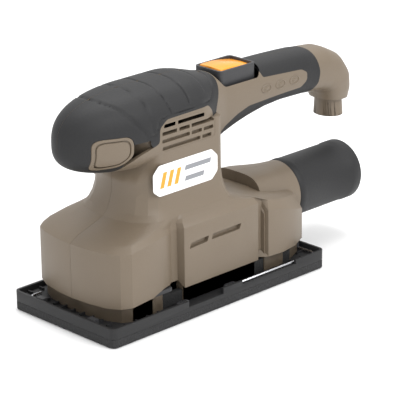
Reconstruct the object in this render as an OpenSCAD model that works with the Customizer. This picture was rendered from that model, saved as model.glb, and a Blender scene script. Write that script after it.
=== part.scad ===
// Third-sheet orbital sander: palm grip at the front (-X), handle and dust port at the back (+X).
// The origin is the centre of the pad's underside. +Z is up and the machine's left side faces -Y.

/* [Pad and platen] */
// Length of the sanding pad
pad_length = 187; // [170:1:215]
// Width of the sanding pad
pad_width = 93; // [86:1:112]
// Thickness of the foam pad
pad_thickness = 5.5; // [4:0.5:8]
// Radius of the pad's corners
pad_corner = 4; // [2:0.5:8]
// Thickness of the platen's floor
platen_floor = 3; // [2.5:0.5:5]
// Height of the platen's rim above its floor
rim_height = 3.9; // [3:0.1:5]
// Wall of the platen's rim
rim_wall = 1.8; // [1.2:0.1:2.2]
// Radius of a dust hole in pad and platen
dust_hole_radius = 4.5; // [3:0.5:6]

/* [Body] */
// Length of the lower body, nose to back
body_length = 176.5; // [165:0.5:182]
// Width of the lower body
body_width = 81; // [76:0.5:82]
// Height of the body's lower edge above the pad's underside
body_bottom = 17.5; // [16.5:0.5:20]
// Height of the side walls' top edge
shoulder_height = 50; // [48:0.5:54]
// Height of the front deck
deck_height = 57; // [55:0.5:60]
// Height where the tower grows out of the deck
foot_height = 64.5; // [62:0.5:68]
// Wall of the shells
wall = 2.5; // [2:0.1:3]

/* [Tower and head] */
// Width of the motor tower
tower_width = 57; // [56:0.5:62]
// Front of the tower
tower_front = -50; // [-53:0.5:-47]
// Back of the tower
tower_back = 20; // [18:0.5:23]
// Width of the palm grip
head_width = 58; // [57:0.5:66]
// Front of the palm grip
head_nose = -93; // [-100:0.5:-88]
// Middle height of the palm grip
head_middle = 116; // [114:0.5:119]
// Height of the palm grip's crown above its middle
head_rise = 29; // [26:0.5:31]
// Depth of the palm grip below its middle
head_drop = 22; // [20:0.5:24]
// Thickness of the rubber overmould
grip_skin = 2.5; // [1.8:0.1:3]

/* [Handle] */
// Width of the rear handle
handle_width = 31; // [28:0.5:36]
// Height of the rear handle's underside
handle_bottom = 106; // [102:0.5:108]
// Height of the rear handle's top
handle_top = 137.5; // [135:0.5:140]
// Where the handle starts to curl down
handle_bend = 116; // [108:0.5:124]
// Back end of the handle's tail
tail_end = 157; // [148:0.5:166]

/* [Motor and drive] */
// Motor axis, measured back from the pad's centre
motor_x = -14; // [-18:0.5:-12]
// Eccentric offset, half the orbit's diameter
orbit_radius = 1; // [0.6:0.1:1.2]
// Radius of the laminated field core
field_radius = 24.5; // [22:0.5:25]
// Height of the motor's cores
core_height = 26; // [20:1:28]
// Radius of the fan
fan_radius = 31; // [26:0.5:31.5]
// Air gap between field core and armature core
air_gap = 0.6; // [0.4:0.1:1]
// Running clearance of a shaft in a bearing
running_gap = 0.05; // [0.02:0.01:0.08]

/* [Dust port] */
// Height of the dust port's axis
port_height = 41; // [39:0.5:43]
// Radius of the outlet tube
tube_radius = 18.5; // [16:0.5:19]
// Wall of the outlet tube
tube_wall = 2.5; // [2:0.1:3.5]
// Wall of the adapter sleeve around the tube
adapter_wall = 2; // [1.6:0.1:3.5]
// Radius of the hose bore in the adapter
hose_radius = 16; // [14:0.5:17]
// Gap between the body's back and the adapter sleeve
adapter_standoff = 8; // [6:0.5:13]
// Length of the adapter sleeve
adapter_length = 59.5; // [49:0.5:69]
// Depth to which the outlet tube fills the adapter
tube_engagement = 24; // [16:1:28]

/* [Clamps] */
// Radius of the clamp wire
wire_radius = 0.9; // [0.7:0.05:1]
// Front clamp's crossbar, measured in from the pad's front edge
front_bar_inset = 3.5; // [3:0.5:5.5]
// Rear clamp's crossbar, measured in from the pad's back edge
rear_bar_inset = 5.5; // [4.5:0.5:7.5]
// End of the front clamp's lever arm
front_arm_end = -28; // [-34:0.5:-24]
// End of the rear clamp's lever arm
rear_arm_end = 4; // [0:0.5:8]

/* [Hidden] */
$fn = 64;

// Colours
taupe = [0.52, 0.47, 0.40];
rubber_black = [0.16, 0.16, 0.17];
platen_black = [0.22, 0.22, 0.22];
amber = [0.98, 0.70, 0.10];
steel = [0.70, 0.71, 0.72];
copper = [0.75, 0.42, 0.20];

// Small amounts
far = 400;
gap = 0.3;
fit_gap = 0.1;
leaf = 0.02;

// Plan of the body
nose_ahead = 2.75;
body_front = nose_ahead - body_length / 2;
body_back = body_front + body_length;
half_body = body_width / 2;
groove_depth = 5.5;
front_groove = [-34, -27];
rear_groove = [39, 46];
port_y = 0;
duct_start = body_back - 29;
duct_radius = port_height - body_bottom - 0.5;
adapter_radius = tube_radius + adapter_wall;
adapter_front = body_back + adapter_standoff;
adapter_back = adapter_front + adapter_length;

// Heights of the stack
platen_top = pad_thickness + platen_floor;
rim_top = platen_top + rim_height;
wire_height = platen_top + 1.6;
bearing_bottom = platen_top + 3.5;
cover_bottom = body_bottom + 1.5;
cover_thickness = 2.5;
cover_top = cover_bottom + cover_thickness;
fan_bottom = cover_top + 7;
fan_top = fan_bottom + 12;
lower_seat = shoulder_height + 0.5;
core_bottom = lower_seat + 13;
core_top = core_bottom + core_height;
commutator_bottom = core_top + 6;
commutator_top = commutator_bottom + 10;
upper_seat = commutator_top + 2.5;

// Bearings: bore radius, outer radius, width
upper_size = [3.5, 9.5, 6];
lower_size = [4, 11, 7];
platen_size = [5, 13, 8];
ring_wall = 2;
tower_top = max(head_middle, upper_seat + upper_size[2] + 2);
armature_radius = 14.5;
field_bore = armature_radius + air_gap;
shaft_radius = lower_size[0];
eccentric_x = motor_x + orbit_radius;
hub_radius = platen_size[1] + 3;

// Field core: bore and the slots for the coils
coil_slot = 5;
slot_in = field_radius - 2.5 - coil_slot;

// Clamp wire
front_bar_x = front_bar_inset - pad_length / 2;
rear_bar_x = pad_length / 2 - rear_bar_inset;
clamp_leg = 9;
tab_length = 9;
finger_notch = [front_arm_end - 2, rear_arm_end - 4];
wire_notch = [rear_arm_end + 13, rear_arm_end + 62];
arm_y = -(pad_width / 2 - rim_wall - wire_radius - 0.6);
far_leg_y = pad_width / 2 - 11.5;

// Posts
post_x = body_length / 2 - 32.25;
post_y = half_body - 18.5;
hole_x = [-36, -12, 12, 36];
hole_y = pad_width / 2 - 19.5;
post_radius = 7;
ring_radius = post_radius + 2 * orbit_radius + gap;
post_foot = platen_top + 0.3;
post_top = cover_top + 9;

// Handle
handle_half_w = handle_width / 2;
handle_half_h = (handle_top - handle_bottom) / 2;
handle_middle = (handle_top + handle_bottom) / 2;

// Handle switch
rocker_x = tower_back + 29;
rocker_length = 28;
rocker_width = 20;
rocker_pivot = handle_top - 6;
rocker_tilt = 5;
bezel_margin = 3;

// Screws that join the shells: x, z, depth of the head from the joint face
shell_screws = [[body_front + 6.5, 36, 12], [tower_back + 30, shoulder_height + 1, 12],
  [tower_front - 2, head_middle - 14, 12], [tower_back + 9, handle_middle - 3.75, 7],
  [handle_bend - 4, handle_middle - 1.75, 7]];
screw_radius = 1.9;
screw_head = 3.5;
boss_radius = 4.5;

// Palm grip: its widest stretch, and the hard pad in its flank
grip_centre = -30;
inlay_at = [head_nose + 25, head_middle - 3];
inlay_size = [28, 19, 7];

// Badge on the tower's flank
badge_at = [(tower_front + tower_back) / 2 + 1, 88.5];
badge_half = [27, 9.5];
badge_corner = [5, 4.5];
badge_thickness = 0.5;

// Dust seal
seal_size = [body_length - 26.5, body_width - 7];
seal_wall = 3;

// Cord inlet in the tail's end face
inlet_tilt = 58;
cord_radius = 3.8;
bush_radius = 6;
bush_length = 10;

// Commutator
commutator_radius = 10;

// Closed outline of a superellipse of power p
function squircle(a, b, p, n = 32) = [for (i = [0 : n - 1])
  let (c = cos(360 * i / n), s = sin(360 * i / n))
  [a * sign(c) * pow(abs(c), 2 / p), b * sign(s) * pow(abs(s), 2 / p)]];

// Thin slice at height z
module slice(z) translate([0, 0, z]) linear_extrude(leaf) children();

// Cylinder along X, from x0 to x1
module rod_x(r, x0, x1) translate([x0, 0, 0]) rotate([0, 90, 0]) cylinder(r = r, h = x1 - x0);

// Cylinder along Y, from y0 to y1
module rod_y(r, y0, y1) translate([0, y0, 0]) rotate([-90, 0, 0]) cylinder(r = r, h = y1 - y0);

// Ring standing on height z
module ring(r_out, r_in, z, h) translate([0, 0, z]) difference() {
  cylinder(r = r_out, h = h);
  translate([0, 0, -1]) cylinder(r = r_in, h = h + 2);
}

// Side view drawn in X and Z, made a prism along Y
module side_prism() rotate([90, 0, 0]) translate([0, 0, -far]) linear_extrude(2 * far) children();

// Half of space: side -1 is the left half (-Y), side 1 the right half (+Y)
module half_space(side) translate([-far, side < 0 ? -far : 0, -far]) cube([2 * far, far, 2 * far]);

// Rectangle with rounded corners, centred
module round_rect(l, w, r) {
  square([l - 2 * r, w], center = true);
  square([l, w - 2 * r], center = true);
  for (x = [-1, 1], y = [-1, 1]) translate([x * (l / 2 - r), y * (w / 2 - r)]) circle(r);
}

// Plan of the lower body without its grooves; inset draws it smaller
module body_plan(inset = 0) {
  h = half_body - inset;
  f = body_front + inset;
  b = body_back - inset;
  polygon([[f, 0], [f + 1, 20], [f + 5, h - 6], [f + 11, h], [b - 16, h], [b - 4, h - 9], [b, h - 18],
    [b, 0], [b, 18 - h], [b - 4, 9 - h], [b - 16, -h], [f + 11, -h], [f + 5, 6 - h], [f + 1, -20]]);
}

// Plan of the lower body with the two grooves in each side
module grooved_plan() difference() {
  body_plan();
  for (s = [-1, 1], g = [front_groove, rear_groove])
    translate([g[0], s > 0 ? half_body - groove_depth : -half_body - 1])
      square([g[1] - g[0], groove_depth + 1]);
}

// Points of an arc
function arc(x, y, r, from, to, steps) = [for (i = [0 : steps])
  let (a = from + (to - from) * i / steps) [x + r * cos(a), y + r * sin(a)]];

// Plan of the tower, drawn smaller by inset
module tower_plan(inset = 0, front = tower_front, back = tower_back, width = tower_width) {
  fr = 21 - inset;
  br = 5 - inset / 2;
  h = width / 2 - inset;
  f = front + inset + fr;
  b = back - inset - br;
  polygon(concat(arc(b, h - br, br, 0, 90, 2), arc(f, h - fr, fr, 90, 180, 5),
    arc(f, fr - h, fr, 180, 270, 5), arc(b, br - h, br, 270, 360, 2)));
}

// Palm grip and head, drawn smaller by inset
module head_form(inset = 0) {
  power = 3.2;
  front_a = grip_centre - head_nose - inset;
  back_a = 24 - inset;
  half = head_width / 2 - inset;
  hull() for (t = [-75, -52, -26, 0, 26, 52, 75]) {
    s = pow(cos(t), 2 / power);
    z = head_middle + ((t > 0 ? head_rise : head_drop) - inset) * sign(t) * pow(abs(sin(t)), 2 / power);
    slice(z) polygon(concat(arc_oval(0, back_a * s, half * s, -90, 90, 6), arc_oval(grip_centre, front_a * s, half * s, 90, 270, 10)));
  }
}

// Points of an arc of an oval
function arc_oval(x, a, b, from, to, steps) = [for (i = [0 : steps])
  let (t = from + (to - from) * i / steps) [x + a * cos(t), b * sin(t)]];

// Cross-section of the handle: a slice that stands across X, tilted about Y
module handle_slice(x, z, half_w, half_h, tilt) translate([x, 0, z]) rotate([0, 90 + tilt, 0])
  linear_extrude(leaf) polygon(squircle(half_h, half_w, 2.6, 16));

// Straight part of the handle, drawn smaller by inset
module handle_form(inset = 0) hull() {
  handle_slice(4, handle_middle, handle_half_w - inset, handle_half_h - inset, 0);
  handle_slice(handle_bend, handle_middle - 1.5, handle_half_w - inset, handle_half_h - 0.5 - inset, 8);
}

// Tail that curls down behind the handle
module tail_form(inset = 0) hull() {
  handle_slice(handle_bend, handle_middle - 1.5, handle_half_w - inset, handle_half_h - 0.5 - inset, 8);
  handle_slice(tail_end - 14, handle_middle - 11, handle_half_w - 1 - inset, handle_half_h - 2 - inset, 34);
  handle_slice(tail_end - 8.5, handle_middle - 20, handle_half_w - 3 - inset, handle_half_h - 5 - inset, inlet_tilt);
}

// Side view of what the front overmould covers
module front_grip_view() difference() {
  m = head_middle;
  f = tower_front;
  b = tower_back;
  polygon([[-far, 0], [f - 14, 0], [f - 10, m - 13], [f - 1, m - 8], [f + 15, m - 4], [f + 17, m + 6], [f + 22, m + 11],
    [b - 12, m + 11.5], [b - 7, m + 6], [b - 4, m - 4], [b + 1, m + 6], [b + 6, m + 24], [b + 6, far], [-far, far]]);
  translate(inlay_at) round_rect(inlay_size[0], inlay_size[1], inlay_size[2]);
}

// Side view of what the rear overmould covers: top, back band and a strip along the underside
module rear_grip_view() {
  t = handle_top;
  b = handle_bottom;
  front = rocker_x + rocker_length / 2 + bezel_margin + 2;
  panel = handle_bend - 6;
  back = handle_bend + 4;
  polygon([[front, t + 8], [front, t - 7.5], [front + 6, t - 9], [panel - 3, t - 10.5], [panel, t - 13.5],
    [panel, b + 7], [panel - 5, b + 3.5], [rocker_x - 3, b + 3.5], [tower_back + 14, b + 1.5], [tower_back + 14, b - 6],
    [back, b - 6], [back, t + 8]]);
}

// Outer form of the whole shell, before it is split
module shell_outside() {
  intersection() {
    translate([0, 0, body_bottom]) linear_extrude(far) grooved_plan();
    hull() {
      slice(body_bottom) body_plan();
      slice(shoulder_height) body_plan();
      slice(deck_height) body_plan(6);
      slice(foot_height) tower_plan(0, tower_front - 8, tower_back + 8, tower_width + 10);
    }
  }
  hull() {
    slice(foot_height - 2) tower_plan(0, tower_front - 7, tower_back + 6, tower_width + 9);
    slice(foot_height + 12) tower_plan();
  }
  translate([0, 0, foot_height]) linear_extrude(tower_top - foot_height) tower_plan();
  head_form(grip_skin);
  handle_form(2);
  tail_form();
  translate([rocker_x - rocker_length / 2 - bezel_margin - 2, -handle_half_w + 1, rocker_pivot - 10])
    cube([rocker_length + 2 * bezel_margin + 4, handle_width - 2, 16]);
  translate([0, port_y, port_height]) {
    translate([duct_start, 0, 0]) rotate([0, 90, 0])
      cylinder(r1 = duct_radius, r2 = adapter_radius, h = adapter_front - gap - duct_start);
    rod_x(tube_radius, duct_start, adapter_front + tube_engagement);
  }
}

// Room inside the shells
module shell_inside() {
  translate([0, 0, body_bottom - 1]) linear_extrude(shoulder_height - body_bottom + 1)
    offset(delta = -wall) grooved_plan();
  translate([0, 0, shoulder_height - 1]) linear_extrude(tower_top - shoulder_height) tower_plan(wall);
  translate([motor_x - 2, 0, head_middle - 3]) cylinder(r = 21, h = 18);
  translate([head_nose + 17, -13, head_middle - 14]) cube([50, 26, 28]);
  translate([tower_back - 24, -handle_width / 2 + 5, handle_bottom + 5])
    cube([handle_bend - tower_back + 14, handle_width - 10, handle_top - handle_bottom - 10]);
  translate([0, port_y, port_height]) rod_x(tube_radius - tube_wall, duct_start - 2, far);
}

// Walls moulded inside the shells that hold bearings, field core and screws
module shell_ribs() {
  difference() {
    translate([0, 0, lower_seat - 1]) linear_extrude(lower_size[2] + 2) tower_plan(wall - 0.1);
    translate([motor_x, 0, lower_seat]) cylinder(r = lower_size[1], h = lower_size[2]);
    translate([motor_x, 0, 0]) cylinder(r = lower_size[1] - 2, h = far);
    for (a = [45 : 90 : 315]) translate([motor_x, 0, 0]) rotate(a) translate([18, 0, 0]) cylinder(r = 3.5, h = far);
  }
  difference() {
    translate([0, 0, upper_seat - 1]) linear_extrude(upper_size[2] + 2) tower_plan(wall - 0.1);
    translate([motor_x, 0, upper_seat]) cylinder(r = upper_size[1] + ring_wall, h = upper_size[2]);
    translate([motor_x, 0, 0]) cylinder(r = upper_size[1] - 2, h = far);
    for (x = [-1, 1]) translate([motor_x + x * 24, 0, 0]) cylinder(r = 5, h = far);
  }
  for (a = [45 : 90 : 315]) intersection() {
    translate([motor_x, 0, core_bottom]) rotate(a) translate([field_radius, -2, 0]) cube([14, 4, core_height]);
    translate([0, 0, core_bottom]) linear_extrude(core_height) tower_plan(wall - 0.1);
  }
}

// Bosses for the screws: the left shell holds the threads, the right shell the heads
module screw_bosses(side) for (s = shell_screws) translate([s[0], 0, s[1]])
  rod_y(side < 0 ? boss_radius : boss_radius + 1.5, side < 0 ? -s[2] - 2 : -s[2] - 3, 0);

// Bores and head recesses for the screws
module screw_bores(side) for (s = shell_screws) translate([s[0], 0, s[1]])
  if (side < 0) rod_y(screw_radius + running_gap, -s[2], 1);
  else {
    rod_y(screw_radius + gap, -far, 1);
    rod_y(screw_head + gap, -far, 3 - s[2]);
  }

// Side slots of the motor's air inlet, and the outlet slots of the side panel
module air_slots() {
  for (row = [0 : 4]) for (k = [0 : 1])
    translate([-31 + (row % 2) * 6 + k * 22, -far, 106.5 + row * 4]) cube([k == 0 ? 18 - (row % 2) * 6 : 18, 2 * far, 2]);
  for (x = [[-18, -3], [1, 22]]) translate([x[0], -far, 46.5]) cube([x[1] - x[0], 2 * far, 3.4]);
}

// One shell of the housing: both are drawn on the left, and the right one is mirrored
module housing_half(side) color(taupe) mirror([0, side > 0 ? 1 : 0, 0]) difference() {
  intersection() {
    union() {
      difference() {
        shell_outside();
        shell_inside();
        air_slots();
      }
      shell_ribs();
      for (x = [-1, 1]) translate([x * post_x, -post_y, post_top]) cylinder(r = 6, h = shoulder_height - post_top + 1);
      screw_bosses(side);
    }
    half_space(-1);
  }
  screw_bores(side);
  translate([0, 0, cover_bottom]) linear_extrude(cover_thickness) offset(delta = -wall) grooved_plan();
  for (x = [-1, 1]) translate([x * post_x, -post_y, 0]) {
    cylinder(r = post_radius + gap, h = post_top);
    cylinder(r = screw_radius + running_gap, h = post_top + 7);
  }
  translate([rocker_x, 0, rocker_pivot - 4]) linear_extrude(far)
    square([rocker_length + 2 * bezel_margin, rocker_width + 2 * bezel_margin], center = true);
  at_inlet() {
    translate([0, 0, -bush_length]) cylinder(r = bush_radius, h = 2 * bush_length);
    translate([0, 0, -bush_length - 26]) cylinder(r = cord_radius + gap, h = 27);
  }
}

// Places a piece of the cord inlet: the origin is on the tail's end face, +Z points out
module at_inlet() translate([tail_end - 8.5, 0, handle_middle - 20]) rotate([0, 90 + inlet_tilt, 0]) children();

module front_grip(side) color(rubber_black) mirror([0, side > 0 ? 1 : 0, 0]) difference() {
  intersection() {
    head_form();
    side_prism() front_grip_view();
    half_space(-1);
  }
  head_form(grip_skin);
  handle_form(2);
  linear_extrude(tower_top) tower_plan();
}

module rear_grip(side) color(rubber_black) mirror([0, side > 0 ? 1 : 0, 0]) difference() {
  intersection() {
    handle_form();
    side_prism() rear_grip_view();
    half_space(-1);
  }
  handle_form(2);
  tail_form();
}

// Hard pad set into the overmould on each side of the palm grip
module grip_inlay(side) color(taupe) mirror([0, side > 0 ? 1 : 0, 0]) difference() {
  intersection() {
    head_form(0.4);
    side_prism() translate(inlay_at) round_rect(inlay_size[0] - 0.4, inlay_size[1] - 0.4, inlay_size[2] - 0.2);
    half_space(-1);
  }
  head_form(grip_skin);
}

module badge(side) color("white") rotate([90, 0, 0])
  translate([badge_at[0], badge_at[1], side < 0 ? tower_width / 2 : -tower_width / 2 - badge_thickness])
    linear_extrude(badge_thickness) badge_outline(badge_half[0], badge_half[1], badge_corner[0], badge_corner[1]);

// Rectangle of half sizes l and h with its corners cut off by c along the length and d along the height
module badge_outline(l, h, c, d) polygon([[-l, d - h], [c - l, -h], [l - c, -h], [l, d - h], [l, h - d], [l - c, h],
  [c - l, h], [-l, h - d]]);

// Places a switch piece: the pivot is the origin
module at_rocker() translate([rocker_x, 0, rocker_pivot]) children();

module switch_bezel() color(platen_black) at_rocker() {
  l = rocker_length + 2 * bezel_margin;
  w = rocker_width + 2 * bezel_margin;
  difference() {
    translate([-l / 2, -w / 2, -4]) cube([l, w, 11.5]);
    rod_y(rocker_length / 2 + gap, -rocker_width / 2 - gap, rocker_width / 2 + gap);
    translate([-9, -6, -10]) cube([18, 12, 20]);
  }
}

module switch_body() color([0.2, 0.2, 0.22]) at_rocker() {
  translate([-12, -9, -15]) cube([24, 18, 11]);
  for (x = [-8, 0, 8]) translate([x - 0.4, -3, -18]) cube([0.8, 6, 4]);
}

module switch_rocker() color(amber) at_rocker() rotate([0, rocker_tilt, 0]) difference() {
  rod_y(rocker_length / 2, -rocker_width / 2, rocker_width / 2);
  translate([-far, -far, -far]) cube([2 * far, 2 * far, far]);
  for (s = [-1, 1]) rotate([0, s * 4, 0]) translate([-far, -far, 7.5]) cube([2 * far, 2 * far, far]);
}

module housing_screws() color(steel) for (s = shell_screws) translate([s[0], 0, s[1]]) {
  rod_y(screw_radius, 1 - s[2], s[2] - 3);
  difference() {
    rod_y(screw_head, s[2] - 3, s[2]);
    translate([-0.5, s[2] - 1.2, -2.5]) cube([1, 2, 5]);
    translate([-2.5, s[2] - 1.2, -0.5]) cube([5, 2, 1]);
  }
}

module base_cover() color(platen_black) difference() {
  translate([0, 0, cover_bottom]) linear_extrude(cover_thickness) offset(delta = -wall) grooved_plan();
  translate([motor_x, 0, 0]) cylinder(r = hub_radius + orbit_radius + 4, h = far);
  for (x = [-1, 1], y = [-1, 1]) translate([x * post_x, y * post_y, 0]) cylinder(r = post_radius + gap, h = far);
  for (s = shell_screws) translate([s[0], -far, s[1]]) rotate([-90, 0, 0]) cylinder(r = boss_radius + 2, h = 2 * far);
}

module dust_seal() color([0.12, 0.12, 0.12]) difference() {
  translate([0, 0, platen_top + gap]) linear_extrude(cover_bottom - platen_top - gap) difference() {
    round_rect(seal_size[0], seal_size[1], 8);
    round_rect(seal_size[0] - 2 * seal_wall, seal_size[1] - 2 * seal_wall, 8 - seal_wall);
  }
  for (g = [front_groove, rear_groove]) translate([g[0] - wall - gap, -far, body_bottom - gap])
    cube([g[1] - g[0] + 2 * (wall + gap), 2 * far, far]);
}

module field_core() color(steel) translate([motor_x, 0, 0]) difference() {
  ring(field_radius, field_bore, core_bottom, core_height);
  for (a = [0, 180]) rotate(a) field_slots(0.2);
}

// Slots of one pole, where the coil's legs pass
module field_slots(g) for (s = [-1, 1]) rotate(s * 42)
  translate([slot_in - g, -coil_slot / 2 - g, core_bottom - 5]) cube([coil_slot + 2 * g, coil_slot + 2 * g, core_height + 10]);

module field_coils() color(copper) translate([motor_x, 0, 0]) for (a = [0, 180]) rotate(a) {
  field_slots(0);
  for (z = [core_bottom - 5, core_top + 0.5]) intersection() {
    ring(slot_in + coil_slot, slot_in, z, 4.5);
    translate([0, 0, z]) linear_extrude(4.5) polygon([[0, 0], [40, -40], [40, 40]]);
  }
}

// Places of the two brushes, left and right of the commutator
module at_brushes() for (a = [90, 270]) translate([motor_x, 0, (commutator_bottom + commutator_top) / 2]) rotate(a) children();

module brush_holders() color([0.75, 0.62, 0.30]) at_brushes() difference() {
  translate([commutator_radius + 1.5, -4, -4.5]) cube([13, 8, 9]);
  translate([commutator_radius, -3 - fit_gap, -3.5 - fit_gap]) cube([13.5, 6 + 2 * fit_gap, 7 + 2 * fit_gap]);
}
module carbon_brushes() color([0.15, 0.15, 0.16]) at_brushes()
  translate([commutator_radius + fit_gap, -3, -3.5]) cube([8, 6, 7]);

module brush_springs() color(steel) at_brushes() translate([commutator_radius + 8.1, 0, 0]) rotate([0, 90, 0])
  helix_wire(2.2, 0.35, 5.2, 4);

// Wire wound on a cylinder of radius r, standing on the origin
module helix_wire(r, w, h, turns) {
  sides = 6;
  steps = turns * 12;
  function at(i) = [r * cos(i * 30), r * sin(i * 30), w + (h - 2 * w) * i / steps];
  points = [for (i = [0 : steps]) for (k = [0 : sides - 1])
    at(i) + w * [cos(k * 60) * cos(i * 30), cos(k * 60) * sin(i * 30), sin(k * 60)]];
  sides_faces = [for (i = [0 : steps - 1]) for (k = [0 : sides - 1])
    let (a = i * sides + k, b = i * sides + (k + 1) % sides)
    each [[a, a + sides, b + sides], [a, b + sides, b]]];
  start = [[for (k = [0 : sides - 1]) k]];
  end = [[for (k = [sides - 1 : -1 : 0]) steps * sides + k]];
  polyhedron(points, concat(sides_faces, start, end), convexity = 6);
}

module upper_bearing() color(steel) translate([motor_x, 0, 0])
  ring(upper_size[1], upper_size[0] + running_gap, upper_seat, upper_size[2]);

module bearing_ring() color(rubber_black) translate([motor_x, 0, 0])
  ring(upper_size[1] + ring_wall, upper_size[1], upper_seat, upper_size[2]);

module lower_bearing() color(steel) translate([motor_x, 0, 0])
  ring(lower_size[1], lower_size[0] + running_gap, lower_seat, lower_size[2]);

module armature_shaft() color(steel) translate([motor_x, 0, 0]) {
  translate([0, 0, fan_bottom - 6]) cylinder(r = shaft_radius, h = upper_seat - 0.5 - fan_bottom + 6);
  translate([0, 0, upper_seat - 1]) cylinder(r = upper_size[0], h = upper_size[2] + 2);
}

module armature_core() color([0.55, 0.56, 0.58]) translate([motor_x, 0, 0]) difference() {
  ring(armature_radius, shaft_radius, core_bottom, core_height);
  for (a = [0 : 30 : 330]) rotate(a) translate([armature_radius - 5, -0.8, core_bottom - 1]) cube([9, 1.6, core_height + 2]);
}

module armature_windings() color(copper) translate([motor_x, 0, 0]) {
  ring(12.5, shaft_radius, core_bottom - 5, 5);
  ring(12.5, shaft_radius, core_top, 5);
  for (a = [0 : 30 : 330]) rotate(a) translate([armature_radius - 4.6, -0.7, core_bottom - 1]) cube([2.6, 1.4, core_height + 2]);
}

module commutator() color(copper) translate([motor_x, 0, 0]) difference() {
  ring(commutator_radius, shaft_radius, commutator_bottom, commutator_top - commutator_bottom);
  for (a = [0 : 15 : 345]) rotate(a) translate([commutator_radius - 0.8, -0.2, commutator_bottom - 1])
    cube([2, 0.4, commutator_top - commutator_bottom + 2]);
}

module fan() color([0.25, 0.25, 0.27]) translate([motor_x, 0, 0]) {
  ring(fan_radius, shaft_radius, fan_bottom + 5, 2);
  ring(9, shaft_radius, fan_bottom, 12);
  for (a = [0 : 30 : 330]) rotate(a) translate([12, -0.8, fan_bottom]) cube([fan_radius - 12.5, 1.6, 11]);
}

module eccentric() color(steel) {
  difference() {
    union() {
      translate([motor_x, 0, bearing_bottom + platen_size[2] + 0.5]) cylinder(r = 9, h = fan_bottom - bearing_bottom - platen_size[2] - 0.5);
      translate([motor_x, 0, cover_top + 1]) intersection() {
        cylinder(r = 18, h = 5.5);
        translate([-far, -far, 0]) cube([far - 3, 2 * far, far]);
      }
    }
    translate([motor_x, 0, fan_bottom - 6]) cylinder(r = shaft_radius, h = 10);
  }
  translate([eccentric_x, 0, bearing_bottom]) difference() {
    cylinder(r = platen_size[0], h = platen_size[2] + 0.6);
    translate([0, 0, -1]) cylinder(r = 2, h = 8);
  }
}

module eccentric_screw() color(steel) translate([eccentric_x, 0, 0]) {
  translate([0, 0, bearing_bottom - 1.2]) cylinder(r = 6.5, h = 1.2);
  translate([0, 0, bearing_bottom - 1.3]) cylinder(r = 2 - running_gap, h = 7);
  difference() {
    translate([0, 0, bearing_bottom - 3.6]) cylinder(r = 3.6, h = 2.4);
    translate([0, 0, bearing_bottom - 4]) cylinder(r = 2, h = 1.6, $fn = 6);
  }
}

module platen_bearing() color(steel) translate([eccentric_x, 0, 0])
  ring(platen_size[1], platen_size[0] + running_gap, bearing_bottom, platen_size[2]);

// Holes through which dust is drawn, the same in pad and platen
module dust_holes() for (x = hole_x, y = [-1, 1]) translate([x, y * hole_y, -1])
  cylinder(r = dust_hole_radius, h = far);

module platen() color(platen_black) difference() {
  union() {
    translate([0, 0, pad_thickness]) linear_extrude(platen_floor) round_rect(pad_length, pad_width, pad_corner);
    translate([0, 0, pad_thickness]) linear_extrude(rim_top - pad_thickness) difference() {
      round_rect(pad_length, pad_width, pad_corner);
      round_rect(pad_length - 2 * rim_wall, pad_width - 2 * rim_wall, pad_corner - rim_wall);
    }
    translate([eccentric_x, 0, platen_top - 1]) cylinder(r = hub_radius, h = bearing_bottom + platen_size[2] - platen_top + 1);
    for (x = [-1, 1], y = [-1, 1]) translate([x * post_x, y * post_y, platen_top - 1]) ring(ring_radius + 1.6, ring_radius, 0, 3);
  }
  translate([eccentric_x, 0, bearing_bottom]) cylinder(r = platen_size[1], h = far);
  translate([eccentric_x, 0, 0]) cylinder(r = 9, h = far);
  dust_holes();
  for (n = [[finger_notch, 0], [wire_notch, 1.2]]) translate([n[0][0], -far, platen_top + n[1]])
    cube([n[0][1] - n[0][0], far - pad_width / 2 + rim_wall + 0.7, far]);
  for (x = [-1, 1], y = [-1, 1]) translate([x * post_x, y * post_y, 0]) cylinder(r = screw_radius, h = far);
}

module sanding_pad() color([0.2, 0.2, 0.2]) difference() {
  linear_extrude(pad_thickness) round_rect(pad_length, pad_width, pad_corner);
  dust_holes();
}

// Rubber post that carries the housing; it hangs from the shells and stands in a ring of the platen
module rubber_post(sx, sy) color(rubber_black) translate([sx * post_x, sy * post_y, 0]) difference() {
  union() {
    translate([0, 0, post_foot]) cylinder(r = post_radius, h = 3);
    translate([0, 0, post_foot]) cylinder(r = post_radius - 2, h = post_top - post_foot);
    translate([0, 0, post_top - 4]) cylinder(r = post_radius, h = 4);
  }
  translate([0, 0, post_top - 6]) cylinder(r = screw_radius + running_gap, h = 8);
}

module post_screws_upper() color(steel) for (x = [-1, 1], y = [-1, 1])
  translate([x * post_x, y * post_y, post_top - 5]) cylinder(r = screw_radius, h = 11);

module post_screws_lower() color(steel) for (x = [-1, 1], y = [-1, 1])
  translate([x * post_x, y * post_y, pad_thickness]) cylinder(r = screw_radius, h = platen_floor);

// Clamp wire through the points of a route
module wire(route) {
  for (i = [0 : len(route) - 2]) {
    d = route[i + 1] - route[i];
    translate(route[i]) rotate([0, acos(d[2] / norm(d)), atan2(d[1], d[0])]) cylinder(r = wire_radius, h = norm(d), $fn = 24);
  }
  for (i = [1 : len(route) - 2]) translate(route[i]) sphere(r = wire_radius, $fn = 24);
}

module front_clamp_wire() color("silver") wire([[front_bar_x + clamp_leg, far_leg_y, wire_height],
  [front_bar_x, far_leg_y, wire_height], [front_bar_x, arm_y, wire_height], [front_arm_end, arm_y, wire_height]]);

module rear_clamp_wire() color("silver") wire([[rear_bar_x - clamp_leg, far_leg_y, wire_height],
  [rear_bar_x, far_leg_y, wire_height], [rear_bar_x, arm_y, wire_height], [rear_arm_end, arm_y, wire_height]]);

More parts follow.
